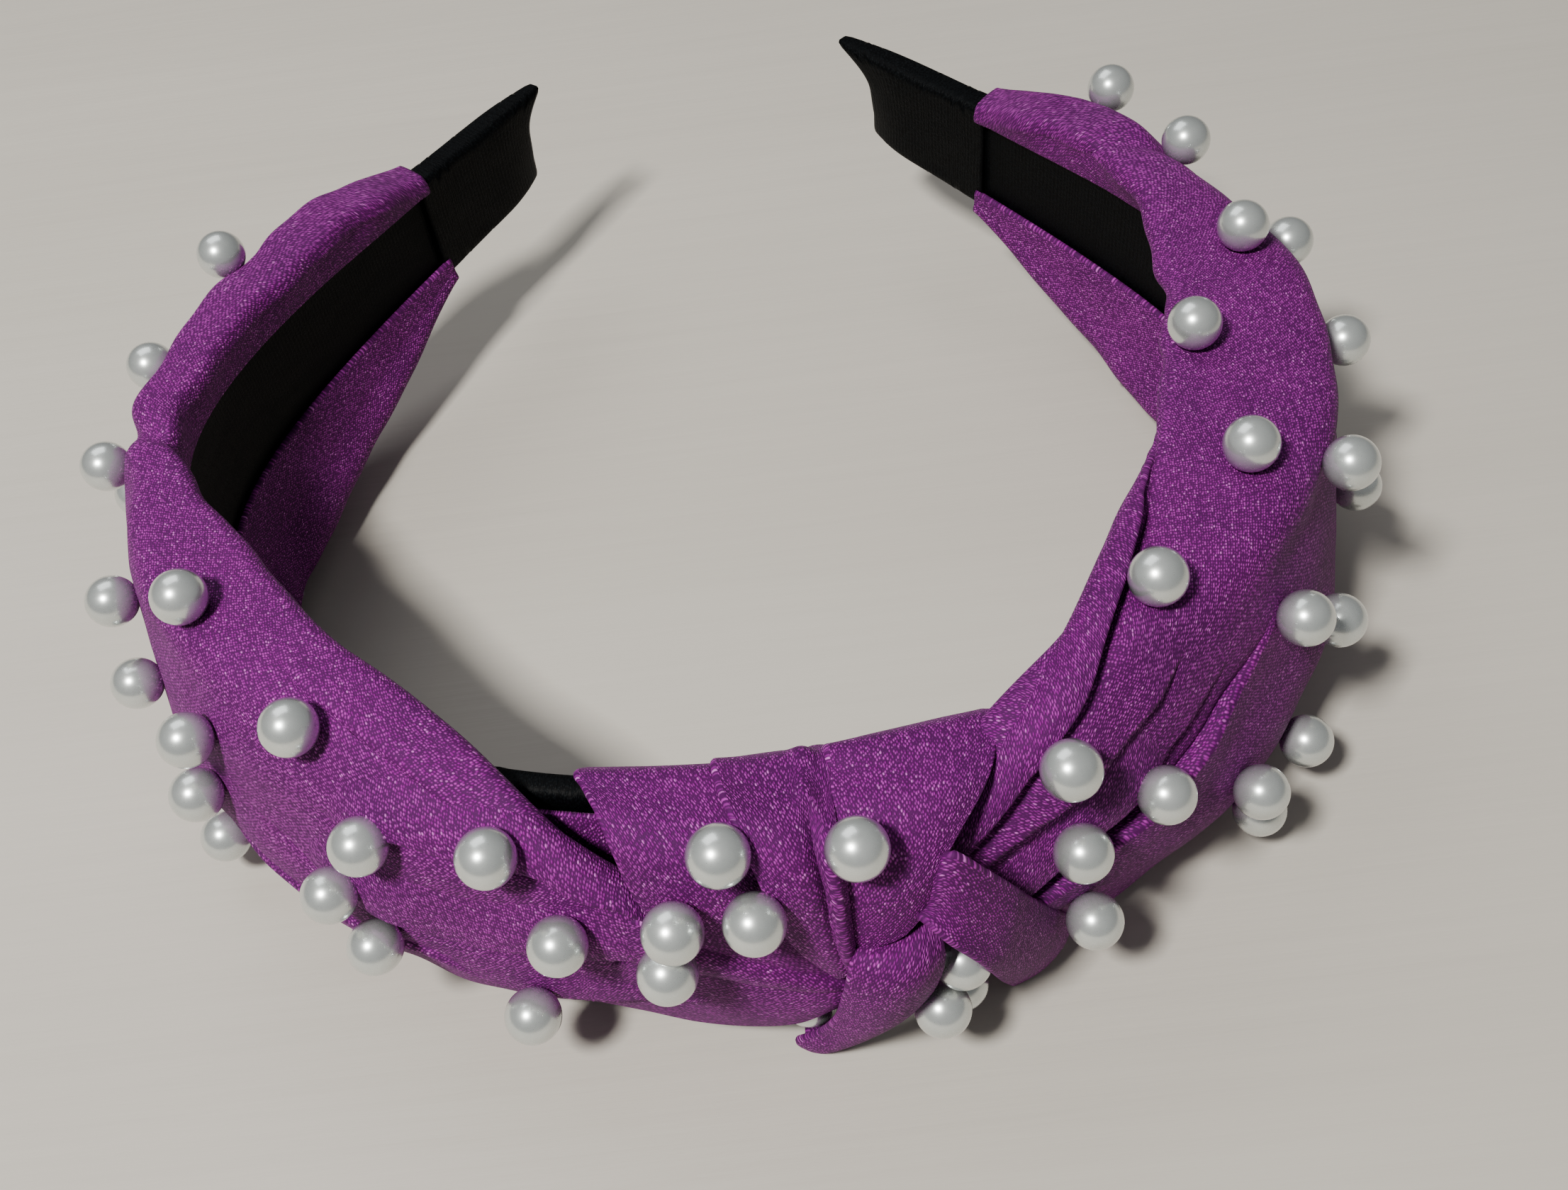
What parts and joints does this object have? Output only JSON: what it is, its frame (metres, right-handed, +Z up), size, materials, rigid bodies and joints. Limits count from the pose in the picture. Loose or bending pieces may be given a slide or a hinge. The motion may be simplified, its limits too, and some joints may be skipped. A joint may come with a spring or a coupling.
{
  "type": "knotted headband",
  "caption": "Fabric-covered headband with a turban-style knot at the crown, scattered pearl beads and a satin lining, open at the back.",
  "frame": {"origin": "middle of the footprint of the headband lying on its long edge, at the surface it lies on", "axes": "+Z up across the band's width, +Y from the knot towards the open tips, +X towards the right-hand arm"},
  "size_m": [0.1558, 0.143, 0.0467],
  "materials": {
    "magenta_crepe": "pebbled crepe with a slight sheen",
    "black_satin": "satin ribbon with fine ribs",
    "hoop_plastic": "plain moulded",
    "pearl": "pearl lacquer",
    "rivet_metal": "bright",
    "clear_stud": "clear gloss"
  },
  "bodies": {
    "crown": {"hoop_crown": "hoop_plastic", "satin_crown": "black_satin", "wing_root_left": "magenta_crepe", "wing_root_right": "magenta_crepe", "pearls_knot": "pearl", "rivets_knot": "rivet_metal", "knot_left_strap": "magenta_crepe", "knot_middle_strap": "magenta_crepe", "knot_right_strap": "magenta_crepe", "knot_loop": "magenta_crepe", "knot_cross_strap": "magenta_crepe", "knot_upper_strand": "magenta_crepe", "knot_lower_strand": "magenta_crepe"},
    "left_arm": {"hoop_left": "hoop_plastic", "satin_left": "black_satin", "wing_left": "magenta_crepe", "tip_cap_left": "black_satin", "pearls_left": "pearl", "rivets_left": "rivet_metal", "stud_left": "clear_stud"},
    "right_arm": {"hoop_right": "hoop_plastic", "satin_right": "black_satin", "wing_right": "magenta_crepe", "tip_cap_right": "black_satin", "pearls_right": "pearl", "rivets_right": "rivet_metal", "stud_right": "clear_stud"}
  },
  "joints": [
    {"name": "left_arm_flex", "type": "hinge", "parent": "crown", "child": "left_arm", "pos_m": [-0.02952, -0.04762, 0.025], "axis": [0, 0, 1], "range_deg": [-4, 12], "stiffness_Nm_per_rad": 1.2},
    {"name": "right_arm_flex", "type": "hinge", "parent": "crown", "child": "right_arm", "pos_m": [0.03094, -0.04762, 0.025], "axis": [0, 0, -1], "range_deg": [-4, 12], "stiffness_Nm_per_rad": 1.2}
  ]
}
